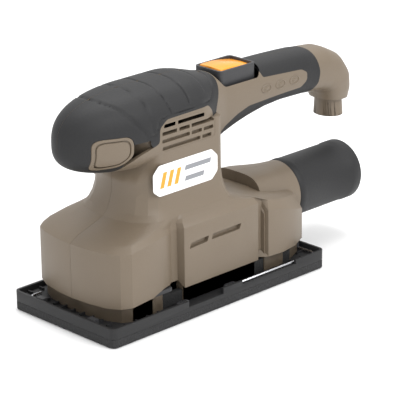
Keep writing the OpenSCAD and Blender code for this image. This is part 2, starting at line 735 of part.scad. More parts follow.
// Plastic finger tab pushed on the end of a lever arm
module lever_tab(x0) color(platen_black) difference() {
  translate([x0, arm_y - 1.2, wire_height - 1.5]) cube([tab_length, 2.4, 3.6]);
  translate([0, arm_y, wire_height]) rod_x(wire_radius, x0 - 1, x0 + tab_length + 1);
}

// Hooks that hold the crossbars to the platen's floor
module clamp_clips() color(platen_black) for (end = [-1, 1], y = [-24, 24])
  translate([end < 0 ? front_bar_x : rear_bar_x, y, 0]) difference() {
    translate([end < 0 ? -1.6 : -2.4, -3, platen_top]) cube([4, 6, 4.2]);
    translate([0, 0, wire_height]) rod_y(wire_radius + running_gap, -4, 4);
  }

module dust_adapter() color(rubber_black) translate([0, port_y, port_height]) difference() {
  rod_x(adapter_radius, adapter_front, adapter_back);
  rod_x(tube_radius + fit_gap, adapter_front - 1, adapter_front + tube_engagement + 1);
  rod_x(hose_radius, adapter_front, adapter_back + 1);
}

module cord_bush() color(rubber_black) at_inlet() ring(bush_radius, cord_radius, -bush_length, bush_length + 1);

module cord_clamp() color(platen_black) translate([98, -8, handle_bottom + 5]) cube([6, 16, 4]);

module capacitor() color([0.85, 0.75, 0.2]) translate([74, -7, handle_bottom + 5]) cube([18, 14, 10]);

housing_half(-1);  // housing_left
housing_half(1);  // housing_right
front_grip(-1);  // front_grip_left
front_grip(1);  // front_grip_right
rear_grip(-1);  // rear_grip_left
rear_grip(1);  // rear_grip_right
grip_inlay(-1);  // grip_inlay_left
grip_inlay(1);  // grip_inlay_right
badge(-1);  // badge_left
badge(1);  // badge_right
switch_bezel();
switch_body();
switch_rocker();
housing_screws();
base_cover();
dust_seal();
field_core();
field_coils();
brush_holders();
carbon_brushes();
brush_springs();
upper_bearing();
bearing_ring();
lower_bearing();
armature_shaft();
armature_core();
armature_windings();
commutator();
fan();
eccentric();
eccentric_screw();
platen_bearing();
platen();
sanding_pad();
rubber_post(-1, -1);  // post_front_left
rubber_post(-1, 1);  // post_front_right
rubber_post(1, -1);  // post_rear_left
rubber_post(1, 1);  // post_rear_right
post_screws_upper();
post_screws_lower();
front_clamp_wire();
lever_tab(front_arm_end - tab_length);  // front_lever_tab
rear_clamp_wire();
lever_tab(rear_arm_end);  // rear_lever_tab
clamp_clips();
dust_adapter();
cord_bush();
cord_clamp();
capacitor();
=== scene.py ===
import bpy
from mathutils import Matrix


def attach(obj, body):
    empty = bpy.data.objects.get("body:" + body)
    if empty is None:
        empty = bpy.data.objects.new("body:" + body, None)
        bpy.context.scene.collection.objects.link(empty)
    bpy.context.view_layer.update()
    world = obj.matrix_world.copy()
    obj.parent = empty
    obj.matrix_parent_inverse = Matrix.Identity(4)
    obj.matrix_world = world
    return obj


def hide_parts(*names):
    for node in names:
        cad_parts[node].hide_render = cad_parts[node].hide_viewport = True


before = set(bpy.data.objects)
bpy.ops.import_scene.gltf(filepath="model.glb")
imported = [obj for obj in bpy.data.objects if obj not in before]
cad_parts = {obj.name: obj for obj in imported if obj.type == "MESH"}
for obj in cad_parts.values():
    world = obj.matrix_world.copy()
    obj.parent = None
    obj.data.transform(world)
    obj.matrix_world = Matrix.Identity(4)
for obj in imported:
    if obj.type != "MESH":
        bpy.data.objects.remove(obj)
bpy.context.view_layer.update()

import math

import bmesh
import bpy
import numpy as np
from mathutils import Matrix, Vector

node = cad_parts

# Camera, floor and studio light.
# A long lens looks down on the nose and the left flank; the floor is plain and
# nearly white, lit by large soft panels.
view_right = Vector((0.715851, -0.698148, -0.012121))
view_up = Vector((0.248690, 0.238698, 0.938710))
view_back = Vector((-0.652466, -0.674991, 0.344494))
lens = bpy.data.cameras.new("camera")
lens.lens = 198
lens.sensor_width = 36
camera = bpy.data.objects.new("camera", lens)
bpy.context.scene.collection.objects.link(camera)
turn = Matrix((view_right, view_up, view_back)).transposed().to_4x4()
camera.matrix_world = Matrix.Translation((-0.897344, -0.954512, 0.539948)) @ turn
bpy.context.scene.camera = camera
bpy.context.scene.view_settings.view_transform = "Standard"

world = bpy.data.worlds.new("studio")
bpy.context.scene.world = world
world.use_nodes = True
world.node_tree.nodes["Background"].inputs["Color"].default_value = (1, 1, 1, 1)
world.node_tree.nodes["Background"].inputs["Strength"].default_value = 1.0


def light_panel(name, place, aim, size, power):
    """Soft square panel of light at a place, turned to its aim."""
    lamp = bpy.data.lights.new(name, "AREA")
    lamp.size = size
    lamp.energy = power
    panel = bpy.data.objects.new(name, lamp)
    bpy.context.scene.collection.objects.link(panel)
    panel.location = place
    panel.rotation_mode = "QUATERNION"
    panel.rotation_quaternion = (Vector(place) - Vector(aim)).to_track_quat("Z", "Y")


light_panel("key_panel", (0.1, -1.0, 0.95), (0, 0, 0.07), 0.7, 9)
light_panel("top_panel", (0.3, 0.2, 1.25), (0, 0, 0.07), 0.8, 9)
light_panel("front_panel", (-1.2, -0.2, 0.5), (0, 0, 0.07), 0.5, 0.6)

floor_mesh = bpy.data.meshes.new("floor")
floor_reach, floor_height = 6, -0.0004
floor_corners = [(x * floor_reach, y * floor_reach, floor_height) for x, y in ((-1, -1), (1, -1), (1, 1), (-1, 1))]
floor_mesh.from_pydata(floor_corners, [], [(0, 1, 2, 3)])
floor = bpy.data.objects.new("floor", floor_mesh)
bpy.context.scene.collection.objects.link(floor)


# Motor: field core, coils, armature, commutator, brushes, bearings and fan.
# Pressed steel sheets, enamelled copper wire and moulded parts, seated in the shells; seen only when the
# machine is opened, so their own solids stay and each takes its finish here.
class Level:
    """A number that varies over a surface; arithmetic on it adds Math nodes."""

    def __init__(self, finish, socket):
        self.finish, self.socket = finish, socket

    def maths(self, operation, a, b=0.0):
        return self.finish.node("ShaderNodeMath", {"operation": operation}, {0: a, 1: b})

    def __add__(self, other):
        return self.maths("ADD", self, other)

    def __radd__(self, other):
        return self.maths("ADD", other, self)

    def __sub__(self, other):
        return self.maths("SUBTRACT", self, other)

    def __rsub__(self, other):
        return self.maths("SUBTRACT", other, self)

    def __mul__(self, other):
        return self.maths("MULTIPLY", self, other)

    def __rmul__(self, other):
        return self.maths("MULTIPLY", other, self)

    def __gt__(self, other):
        return self.maths("GREATER_THAN", self, other)

    def __lt__(self, other):
        return self.maths("LESS_THAN", self, other)


class Finish:
    """A procedural material being put together around one Principled shader."""

    def __init__(self, name, **fixed):
        self.material = bpy.data.materials.new(name)
        self.material.use_nodes = True
        self.tree = self.material.node_tree
        self.shader = self.tree.nodes["Principled BSDF"]
        for key, value in fixed.items():
            self.shader.inputs[key.replace("_", " ")].default_value = value
        self.place = self.node("ShaderNodeTexCoord", {}, {}, "Object")

    def node(self, kind, settings, inputs, output=0):
        made = self.tree.nodes.new(kind)
        for key, value in settings.items():
            if key == "stops":
                ramp = made.color_ramp
                while len(ramp.elements) < len(value):
                    ramp.elements.new(0.5)
                for element, (at, colour) in zip(ramp.elements, value):
                    element.position, element.color = at, colour
            else:
                setattr(made, key, value)
        for key, value in inputs.items():
            if isinstance(value, Level):
                self.tree.links.new(value.socket, made.inputs[key])
            else:
                made.inputs[key].default_value = value
        return Level(self, made.outputs[output])

    def noise(self, scale, detail=2.0, place=None):
        values = {"Vector": place or self.place, "Scale": scale, "Detail": detail}
        return self.node("ShaderNodeTexNoise", {}, values)

    def cells(self, scale, place=None):
        return self.node("ShaderNodeTexVoronoi", {}, {"Vector": place or self.place, "Scale": scale})

    def squeezed(self, x, y, z):
        return self.node("ShaderNodeMapping", {}, {"Vector": self.place, "Scale": (x, y, z)})

    def mix(self, amount, a, b):
        return self.node("ShaderNodeMix", {"data_type": "RGBA"}, {0: amount, 6: a, 7: b}, 2)

    def to(self, socket, value):
        self.tree.links.new(value.socket, self.shader.inputs[socket])

    def bump(self, height, distance, strength=1.0):
        values = {"Height": height, "Distance": distance, "Strength": strength}
        self.to("Normal", self.node("ShaderNodeBump", {}, values))


def linear(red, green, blue):
    """Colour given as 0 to 255 on a screen, as light."""
    screen = (red, green, blue)
    return tuple(((c / 255 + 0.055) / 1.055) ** 2.4 if c > 10 else c / 3294 for c in screen) + (1,)


def moulded(name, colour, deep, rough, grain=1500, relief=0.00006, **fixed):
    """Injection-moulded plastic with a spark-eroded texture and faint flow marks."""
    f = Finish(name, **fixed)
    cloud = f.noise(22, 3)
    fleck = f.noise(grain)
    pits = f.cells(grain * 0.6)
    f.to("Base Color", f.mix(cloud * 0.55 + fleck * 0.3, colour, deep))
    f.to("Roughness", rough - 0.05 + 0.1 * fleck + 0.06 * cloud)
    f.bump(fleck * 0.6 + pits * 0.4, relief)
    return f.material


def worked_metal(name, colour, deep, rough, along=(1, 1, 1), grain=900, relief=0.00003):
    """Bare metal with marks drawn out along the way it was worked."""
    f = Finish(name, Metallic=1.0)
    marks = f.noise(grain, 3, f.squeezed(*along))
    stain = f.noise(60)
    f.to("Base Color", f.mix(marks * 0.6 + stain * 0.3, colour, deep))
    f.to("Roughness", rough + 0.18 * marks - 0.04)
    f.bump(marks, relief)
    return f.material


def banded(name, colour, gap_colour, pitch, axis, rough, metallic=1.0, relief=0.00008):
    """Stacked sheets or laid wire: fine bands a pitch apart across one axis."""
    f = Finish(name, Metallic=metallic)
    values = {"Vector": f.place, "Scale": 1 / (20 * pitch) * 2 * math.pi, "Distortion": 0.25, "Detail": 1.0}
    bands = f.node("ShaderNodeTexWave", {"bands_direction": axis}, values)
    shade = f.noise(90)
    f.to("Base Color", f.mix(bands * 0.75 + shade * 0.2, gap_colour, colour))
    f.to("Roughness", rough + 0.12 * shade)
    f.bump(bands, relief)
    return f.material


def coat(material, slot, *names):
    """Gives CAD pieces their finish."""
    for name in names:
        node[name].data.materials.clear()
        node[name].data.materials.append(material)


coat(banded("laminated_iron", linear(150, 150, 152), linear(70, 68, 66), 0.0005, "Z", 0.45), "laminated_iron",
     "field_core", "armature_core")
coat(banded("enamelled_wire", linear(196, 108, 52), linear(96, 44, 20), 0.0007, "Z", 0.32), "copper_wire",
     "field_coils", "armature_windings")
commutator_copper = worked_metal("commutator_copper", linear(205, 130, 82), linear(120, 66, 38), 0.28, (1, 1, 9))
coat(commutator_copper, "copper_bar", "commutator")
brass_sheet = worked_metal("brass_sheet", linear(206, 172, 96), linear(150, 118, 56), 0.3, (1, 6, 1))
coat(brass_sheet, "brass", "brush_holders")
pressed_carbon = moulded("pressed_carbon", linear(48, 48, 50), linear(26, 26, 28), 0.62, 2400)
coat(pressed_carbon, "carbon", "carbon_brushes")
spring_wire = worked_metal("spring_wire", linear(180, 180, 184), linear(96, 96, 100), 0.3)
coat(spring_wire, "spring_steel", "brush_springs")
ground_steel = worked_metal("ground_steel", linear(196, 197, 200), linear(120, 121, 124), 0.2, (1, 1, 14))
coat(ground_steel, "bearing_steel", "armature_shaft", "upper_bearing", "lower_bearing", "platen_bearing")
soft_rubber = moulded("soft_rubber", linear(40, 40, 41), linear(24, 24, 25), 0.72, 900, 0.0001)
coat(soft_rubber, "black_rubber", "bearing_ring", "post_front_left", "post_front_right", "post_rear_left",
     "post_rear_right")
coat(moulded("fan_nylon", linear(66, 66, 70), linear(44, 44, 47), 0.5, 1300), "fan_plastic", "fan")
foil_capacitor = moulded("foil_capacitor", linear(214, 182, 60), linear(178, 142, 34), 0.35, 1700)
coat(foil_capacitor, "capacitor_case", "capacitor")
black_nylon = moulded("black_nylon", linear(58, 58, 60), linear(38, 38, 40), 0.5, 1600)
coat(black_nylon, "dark_plastic", "cord_clamp")
coat(moulded("switch_case", linear(46, 46, 50), linear(30, 30, 33), 0.42, 1500), "switch_case", "switch_body")

# Eccentric: a cast zinc balance weight pressed on the shaft's end, with a screw and washer that hold the
# platen's bearing on its off-centre pin.
cast_zinc = worked_metal("cast_zinc", linear(168, 170, 173), linear(110, 112, 116), 0.42, (1, 1, 1), 500, 0.0001)
coat(cast_zinc, "zinc_cast", "eccentric")
screw_steel = worked_metal("screw_steel", linear(188, 189, 192), linear(92, 93, 96), 0.3, (1, 7, 1))
coat(screw_steel, "steel_screw", "eccentric_screw", "post_screws_upper", "post_screws_lower")

# Base cover and dust seal.
# A moulded plate closes the body's underside, and a foam ring under it keeps the dust in; both are seen
# only in the gap above the platen.
coat(black_nylon, "dark_plastic", "base_cover")


def foam(name, colour, deep, cell, relief):
    """Closed-cell foam."""
    f = Finish(name)
    bubbles = f.cells(cell)
    patch = f.noise(60, 3)
    f.to("Base Color", f.mix(bubbles * 0.8 + patch * 0.3, deep, colour))
    f.to("Roughness", 0.8 + 0.15 * bubbles)
    f.bump(bubbles, relief)
    return f.material


coat(foam("seal_foam", linear(24, 24, 24), linear(12, 12, 12), 1400, 0.0003), "seal_foam", "dust_seal")

# Sanding pad: a foam sheet bonded under the platen, with eight dust holes.
# It is cut from sheet, so its edges are square with a slight crush where the paper is drawn round them.
pad_length, pad_width, pad_thickness, pad_corner = 187, 93, 5.5, 4
hole_radius, hole_row, hole_places = 4.5, 27, (-36, -12, 12, 36)


def new_piece(name, points, faces):
    """Mesh piece from points in millimetres."""
    mesh = bpy.data.meshes.new(name)
    mesh.from_pydata([tuple(c / 1000 for c in p) for p in points], [], faces)
    mesh.update()
    piece = bpy.data.objects.new(name, mesh)
    bpy.context.scene.collection.objects.link(piece)
    return piece


def settle(piece):
    """Bakes a piece's modifiers into its mesh."""
    shape = bpy.data.meshes.new_from_object(piece.evaluated_get(bpy.context.evaluated_depsgraph_get()))
    shape.name = piece.name
    piece.modifiers.clear()
    piece.data = shape
    return piece


def skin(name, rings, closed_ends=True):
    """Closed surface through rings of points, each ring going round the same way."""
    count = len(rings[0])
    points = [p for ring in rings for p in ring]
    faces = [(i * count + j, i * count + (j + 1) % count,
              (i + 1) * count + (j + 1) % count, (i + 1) * count + j)
             for i in range(len(rings) - 1) for j in range(count)]
    if closed_ends:
        for at, order in ((0, -1), (len(rings) - 1, 1)):
            centre = len(points)
            points.append(tuple(np.mean(rings[at], axis=0)))
            faces += [(at * count + j, at * count + (j + 1) % count, centre)[::order] for j in range(count)]
    return outward(new_piece(name, points, faces))


def outward(piece):
    """Merges doubles and turns every face outwards."""
    shape = bmesh.new()
    shape.from_mesh(piece.data)
    bmesh.ops.remove_doubles(shape, verts=shape.verts, dist=2e-6)
    bmesh.ops.dissolve_degenerate(shape, edges=shape.edges, dist=1e-6)
    bmesh.ops.recalc_face_normals(shape, faces=shape.faces)
    shape.to_mesh(piece.data)
    shape.free()
    return piece


def rounded_outline(length, width, radius, steps=6):
    """Rectangle with rounded corners, centred."""
    points = []
    for cx, cy, start in ((1, 1, 0), (-1, 1, 90), (-1, -1, 180), (1, -1, 270)):
        for k in range(steps + 1):
            a = math.radians(start + 90 * k / steps)
            points.append((cx * (length / 2 - radius) + radius * math.cos(a),
                           cy * (width / 2 - radius) + radius * math.sin(a)))
    return points


def plate(name, outline, low, high):
    """Outline in plan drawn up from one height to another."""
    return skin(name, [[(x, y, z) for x, y in outline] for z in (low, high)])


def circle(sides):
    """Angles once round, in even steps."""
    return [2 * math.pi * k / sides for k in range(sides)]


def disc(x, y, radius, low, high, sides=40):
    outline = [(x + radius * math.cos(t), y + radius * math.sin(t)) for t in circle(sides)]
    return plate("disc", outline, low, high)


def copied(piece):
    """Second object with its own copy of a piece's mesh."""
    second = piece.copy()
    second.data = piece.data.copy()
    bpy.context.scene.collection.objects.link(second)
    return second


def joined(name, *pieces):
    """One object from several, side by side and not merged."""
    shape = bmesh.new()
    for piece in pieces:
        shape.from_mesh(piece.data)
        bpy.data.objects.remove(piece)
    mesh = bpy.data.meshes.new(name)
    shape.to_mesh(mesh)
    shape.free()
    whole = bpy.data.objects.new(name, mesh)
    bpy.context.scene.collection.objects.link(whole)
    return whole


def carve(piece, tool, operation="DIFFERENCE", keep=False):
    """Cuts, joins or crosses a piece with a tool."""
    m = piece.modifiers.new("carve", "BOOLEAN")
    m.operation, m.solver, m.object = operation, "EXACT", tool
    m.use_self = False
    settle(piece)
    if not keep:
        bpy.data.objects.remove(tool)
    return piece


def soften(piece, width, segments=2, angle=30):
    """Rounds edges sharper than an angle."""
    m = piece.modifiers.new("soften", "BEVEL")
    m.width, m.segments, m.limit_method = width / 1000, segments, "ANGLE"
    m.angle_limit = math.radians(angle)
    m.use_clamp_overlap = True
    m.miter_outer = "MITER_ARC"
    return settle(piece)


def smooth(piece, angle=35):
    """Smooth shading that breaks at true edges."""
    piece.data.polygons.foreach_set("use_smooth", [True] * len(piece.data.polygons))
    piece.data.set_sharp_from_angle(angle=math.radians(angle))
    return piece


def place(piece, body, slot, finish, *stands_for):
    """Gives a finished piece its finish, its body and the CAD nodes that it stands for."""
    piece.data.materials.clear()
    for f in finish if isinstance(finish, (list, tuple)) else (finish,):
        piece.data.materials.append(f)
    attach(piece, body)
    if stands_for:
        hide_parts(*stands_for)
    return piece


def dust_hole_tools():
    places = [(x, side * hole_row) for x in hole_places for side in (-1, 1)]
    return joined("dust_hole_tools", *[disc(x, y, hole_radius, -2, 14) for x, y in places])


pad = plate("sanding_pad_foam", rounded_outline(pad_length, pad_width, pad_corner), 0, pad_thickness)
carve(pad, dust_hole_tools())
smooth(soften(pad, 0.5, 2, 50), 40)
pad_foam = foam("pad_foam", linear(52, 52, 53), linear(22, 22, 22), 900, 0.0004)
place(pad, "platen", "pad_foam", pad_foam, "sanding_pad")

# Platen: glass-filled nylon tray that carries the pad.
# A rim runs round it, lowered where the clamp levers are gripped and where the rear wire lies; cups for the
# rubber posts, a hub for the bearing and stiffening ribs stand on its floor.
platen_floor, rim_height, rim_wall = 3, 3.9, 1.8
floor_top = pad_thickness + platen_floor
rim_top = floor_top + rim_height
hub_x, hub_radius, bearing_radius, bearing_floor, hub_top = -13, 16, 13, 12, 20
hub_hole, screw_hole = 9, 1.9
post_x, post_y, cup_radius, cup_wall, cup_top = 56, 22, 9.3, 1.6, 10.5
post_places = [(sx * post_x, sy * post_y) for sx in (-1, 1) for sy in (-1, 1)]


def block(name, low, high):
    """Box between two corners, for cutting and for plain steps."""
    (a, b, c), (d, e, f) = low, high
    return plate(name, [(a, b), (d, b), (d, e), (a, e)], c, f)


tray_outline = rounded_outline(pad_length, pad_width, pad_corner)
platen = plate("platen_tray", tray_outline, pad_thickness + 0.05, rim_top)
hollow_outline = rounded_outline(pad_length - 2 * rim_wall, pad_width - 2 * rim_wall, pad_corner - rim_wall)
carve(platen, plate("tray_hollow", hollow_outline, floor_top, rim_top + 5))
carve(platen, block("finger_notch", (-30, -60, floor_top), (0, -pad_width / 2 + 2.5, 20)))
carve(platen, block("wire_notch", (17, -60, floor_top + 1.2), (66, -pad_width / 2 + 2.5, 20)))
soften(platen, 0.5, 2, 40)
fittings = disc(hub_x, 0, hub_radius, floor_top - 1, hub_top, 64)
cups = joined("cups", *[disc(x, y, cup_radius + cup_wall, floor_top - 1, cup_top) for x, y in post_places])
carve(platen, fittings, "UNION")
carve(platen, cups, "UNION")
hollows = joined("hollows", disc(hub_x, 0, bearing_radius, bearing_floor, 30, 64),
                 *[disc(x, y, cup_radius, floor_top - 1, 30) for x, y in post_places])
carve(platen, hollows)
carve(platen, disc(hub_x, 0, hub_hole, 0, 30, 48))
carve(platen, dust_hole_tools())
carve(platen, joined("screw_holes", *[disc(x, y, screw_hole, 0, 9, 20) for x, y in post_places]))


def row_tree(name, finish):
    """Geometry Nodes tree that sets one bar at even steps along a line.

    Its inputs are the bar's size, the first bar's place, the step from bar to bar and how many there are."""
    tree = bpy.data.node_groups.new(name, "GeometryNodeTree")
    tree.interface.new_socket("Geometry", in_out="OUTPUT", socket_type="NodeSocketGeometry")
    sockets = {}
    for label, kind in (("Size", "Vector"), ("First", "Vector"), ("Step", "Vector"), ("Count", "Int")):
        socket = tree.interface.new_socket(label, in_out="INPUT", socket_type="NodeSocket" + kind)
        sockets[label] = socket.identifier
    start = tree.nodes.new("NodeGroupInput")
    end = tree.nodes.new("NodeGroupOutput")
    line = tree.nodes.new("GeometryNodeMeshLine")
    line.mode = "OFFSET"
    bar = tree.nodes.new("GeometryNodeMeshCube")
    spread = tree.nodes.new("GeometryNodeInstanceOnPoints")
    real = tree.nodes.new("GeometryNodeRealizeInstances")
    dress = tree.nodes.new("GeometryNodeSetMaterial")
    dress.inputs["Material"].default_value = finish
    tree.links.new(start.outputs["Size"], bar.inputs["Size"])
    tree.links.new(start.outputs["First"], line.inputs["Start Location"])
    tree.links.new(start.outputs["Step"], line.inputs["Offset"])
    tree.links.new(start.outputs["Count"], line.inputs["Count"])
    tree.links.new(line.outputs["Mesh"], spread.inputs["Points"])
    tree.links.new(bar.outputs["Mesh"], spread.inputs["Instance"])
    tree.links.new(spread.outputs["Instances"], real.inputs["Geometry"])
    tree.links.new(real.outputs["Geometry"], dress.inputs["Geometry"])
    tree.links.new(dress.outputs["Geometry"], end.inputs[0])
    return tree, sockets


def row_of_bars(name, finish, size, first, step, count):
    """A row of like bars as one plain mesh; sizes in millimetres."""
    tree, sockets = row_tree(name, finish)
    piece = new_piece(name, [(0, 0, 0)], [])
    m = piece.modifiers.new("row", "NODES")
    m.node_group = tree
    for label, value in (("Size", size), ("First", first), ("Step", step)):
        m[sockets[label]] = tuple(v / 1000 for v in value)
    m[sockets["Count"]] = count
    piece.update_tag()
    settle(piece)
    return piece


platen_nylon = moulded("platen_nylon", linear(40, 40, 41), linear(28, 28, 29), 0.5, 1900, 0.00004,
                       Specular_IOR_Level=0.35)
rib_height = floor_top + 0.8
rim_ribs = [row_of_bars(f"rim_ribs_{k}", platen_nylon, (1.0, 4.5, 1.8), (first, side * 41.6, rib_height),
                        (9.2, 0, 0), count)
            for k, (first, side, count) in enumerate(((-84, 1, 19), (-78, -1, 4), (68, -1, 2)))]
end_ribs = [row_of_bars(f"end_ribs_{k}", platen_nylon, (4.5, 1.0, 1.8), (x, -33, rib_height),
                        (0, 8.25, 0), 9)
            for k, x in enumerate((83, -84.5))]
platen = joined("platen_tray", platen, *rim_ribs, *end_ribs)
smooth(platen, 35)
place(platen, "platen", "platen_plastic", platen_nylon, "platen")

# Paper clamps: two bent steel wires, each hooked under clips on the platen.
# The lever end of each lies in the left side's notch and carries a small moulded finger tab.
wire_radius, wire_height, arm_y, far_leg_y, bend_radius = 0.9, 10.1, -43.2, 35, 3.5
front_bar, rear_bar, front_arm_end, rear_arm_end, tab_length = -90, 88, -28, 4, 9


def bent_path(corners, radius, steps=5):
    """Path through corners, with each corner turned on a radius."""
    corners = [Vector(c) for c in corners]
    path = [corners[0]]
    for before, at, after in zip(corners, corners[1:], corners[2:]):
        a, b = (before - at).normalized(), (after - at).normalized()
        reach = min(radius / math.tan(a.angle(b) / 2), (before - at).length / 2, (after - at).length / 2)
        for k in range(steps + 1):
            t = k / steps
            path.append((1 - t) ** 2 * (at + a * reach) + 2 * t * (1 - t) * at + t ** 2 * (at + b * reach))
    return path + [corners[-1]]


def tube(name, path, radius, sides=14):
    """Round bar along a path, with domed ends."""
    side = None
    rings = []
    for k, point in enumerate(path):
        ahead = (path[min(k + 1, len(path) - 1)] - path[max(k - 1, 0)]).normalized()
        side = (side - ahead * side.dot(ahead)).normalized() if side else ahead.orthogonal().normalized()
        up = ahead.cross(side)
        ring = [point + radius * (math.cos(t) * side + math.sin(t) * up) for t in circle(sides)]
        if k == 0:
            rings.append([point - ahead * radius * 0.4 + (p - point) * 0.6 for p in ring])
        rings.append(ring)
        if k == len(path) - 1:
            rings.append([point + ahead * radius * 0.4 + (p - point) * 0.6 for p in ring])
    return skin(name, [[tuple(p) for p in ring] for ring in rings])


bright_wire = worked_metal("bright_wire", linear(214, 215, 218), linear(150, 151, 155), 0.2, (2, 2, 2), 700)
for name, far_leg_end, bar_x, arm_end in (("front_clamp", front_bar + 9, front_bar, front_arm_end),
                                          ("rear_clamp", rear_bar - 9, rear_bar, rear_arm_end)):
    route = [(far_leg_end, far_leg_y, wire_height), (bar_x, far_leg_y, wire_height), (bar_x, arm_y, wire_height),
             (arm_end, arm_y, wire_height)]
    wire = tube(name + "_bent_wire", bent_path(route, bend_radius), wire_radius)
    place(smooth(wire, 60), name, "clamp_wire", bright_wire, name + "_wire")
for name, low in (("front", front_arm_end - tab_length), ("rear", rear_arm_end)):
    tab = block(name + "_finger_tab", (low, arm_y - 1.2, wire_height - 1.5),
                (low + tab_length, arm_y + 1.2, wire_height + 2.1))
    first_ridge = (low + 1.6, arm_y, wire_height + 2.2)
    ridges = row_of_bars(name + "_tab_ridges", black_nylon, (0.6, 2, 0.5), first_ridge, (1.4, 0, 0), 5)
    tab = joined(name + "_finger_tab", soften(tab, 0.5, 3), ridges)
    place(smooth(tab, 40), name + "_clamp", "platen_plastic", black_nylon, name + "_lever_tab")
coat(black_nylon, "platen_plastic", "clamp_clips")

# Housing: two shells of glass-filled plastic, screwed together on the centre plane.
# The lower body, the motor tower, the head under the palm grip, the handle with its tail and the dust
# duct are all one moulding, so the left shell is built whole, hollowed and mirrored.
head_nose, head_middle, head_half, flank = -93, 116, 29, -30
head_rise, head_drop = 28.6, 22
rocker_x = 49
handle_half, handle_middle, neck_start, neck_end = 15.5, 121.75, 0, 37
port_height, port_radius, tube_bore, sleeve_front, sleeve_back = 41, 18.5, 16, 99, 158.5
seam = 0.08

# Each column of the lower body and tower: wall in plan, its lower and upper heights, the deck's rim, the
# tower's foot and the tower's wall, from the nose round the left side to the back.
columns = [((-85.5, 0), 18, 53.5, (-79.5, 0, 57.3), (-58, 0), (-50, 0)),
           ((-84.6, 14), 18, 53.5, (-78.6, 12.5, 57.3), (-57.5, 11), (-49.2, 9)),
           ((-82, 28), 18, 53.5, (-76.4, 25.5, 57.3), (-54, 22.5), (-46.2, 18)),
           ((-78, 37), 18.5, 53.5, (-73, 33.5, 57.4), (-48, 29.5), (-42, 24)),
           ((-72, 41), 19, 54, (-69, 37.5, 57.9), (-42.5, 32.6), (-36.5, 27.4)),
           ((-55, 41), 20.5, 56.5, (-54, 37.8, 60.2), (-37, 33.3), (-31, 28.5)),
           ((-45, 39.5), 23, 57, (-44.5, 36.8, 60.4), (-33, 33.3), (-28, 28.5)),
           ((-37, 36.8), 23, 57, (-36.5, 34.8, 60), (-31, 33.3), (-26, 28.5)),
           ((-34, 35), 23, 57, (-34, 33.9, 60), (-29, 33.3), (-24, 28.5)),
           ((-28.6, 35), 23, 57, (-28.4, 33.9, 60.4), (-25, 33.3), (-21, 28.5)),
           ((-27.5, 40.3), 19, 58.4, (-26.6, 38, 61), (-22, 33.3), (-18, 28.5)),
           ((37.5, 40.3), 19, 57.6, (36.6, 37.6, 60.6), (17, 33), (12, 28.5)),
           ((38.6, 35.2), 23, 56.4, (38.4, 33.6, 59.6), (20.5, 32), (15, 28.3)),
           ((46, 35.2), 23, 55.2, (45.4, 33.6, 58), (24, 29), (18, 26.9)),
           ((47, 40.2), 18.5, 50.2, (48.9, 37.6, 56.2), (25.5, 25), (19.5, 24)),
           ((60.5, 40.3), 18, 47.8, (61.5, 36.2, 53.2), (26.3, 20), (20, 19)),
           ((74, 38), 18, 43.5, (74.5, 32.5, 50.8), (26.8, 15), (20, 14.5)),
           ((87.5, 31.5), 18, 38.4, (86, 26, 48), (27, 10), (20, 10)),
           ((91, 20), 18, 38, (88.6, 16, 49), (27, 5), (20, 5)),
           ((91, 0), 18, 38, (88.6, 0, 49), (27, 0), (20, 0))]
flare = ((68, 0.6), (72.5, 0.3), (78, 0.1), (84, 0.0))


def body_rings(inset=0.0):
    """Rings of the lower body and tower, drawn inwards by a wall's thickness."""
    wide, long, tower_wide, tower_long = 1 - inset / 40, 1 - inset / 86, 1 - inset / 28.5, 1 - inset / 35
    drop = inset * 1.15
    rings = [[] for _ in range(6 + len(flare))]
    for wall, low, high, rim, foot, tower in columns:
        lower = (wall[0] * long, -wall[1] * wide)
        deck = (rim[0] * long, -rim[1] * wide, rim[2] - drop)
        base = ((foot[0] + 15) * tower_long - 15, -foot[1] * tower_wide)
        stem = ((tower[0] + 15) * tower_long - 15, -tower[1] * tower_wide)
        rings[0].append((*lower, 8 if inset else low))
        rings[1].append((*lower, high - drop))
        rings[2].append(deck)
        rings[3].append(((deck[0] + base[0]) / 2, (deck[1] + base[1]) / 2, (deck[2] + 64.3 - drop) / 2))
        rings[4].append((*base, 64.5 - drop))
        for k, (height, out) in enumerate(flare):
            rings[5 + k].append((stem[0] + (base[0] - stem[0]) * out, stem[1] + (base[1] - stem[1]) * out,
                                 height - drop * 0.5))
        rings[-1].append((*stem, 115 if inset else 118))
    return [ring + [(x, -y, z) for x, y, z in ring[-2:0:-1]] for ring in rings]


def head_reach(x, angle, inset):
    """Distance from the head's middle line to its surface, looking out across X at an angle from the side."""
    tall = (head_rise if math.sin(angle) > 0 else head_drop) - inset
    wide, deep = head_half - inset, flank - head_nose - inset
    along = max(0.0, (flank - x) / deep)
    if along >= 1:
        return 0.0
    c, s = abs(math.cos(angle)), abs(math.sin(angle))
    low, high = 0.0, 45.0
    for _ in range(26):
        r = (low + high) / 2
        full = (r * s / tall) ** 2.7 + math.hypot(along, r * c / wide) ** 2.7
        low, high = (r, high) if full < 1 else (low, r)
    return low


under = ((0, 92), (20, 88), (30, 91), (38, 95), (48, 98.6), (60, 102), (75, 105), (90, 106.2), (116, 105.6))
# The tail's middle line and section: X, Z, lean in degrees, half width and half height.
tail_spine = ((116, 120.3, 8, 15.4, 15.1), (129.2, 119.3, 18, 15.9, 15.2), (138.8, 115.5, 38, 16, 14.4),
              (144.6, 108.8, 62, 15.8, 13.2), (146, 102, 82, 14.8, 12.2), (146.2, 96, 92, 13, 11))


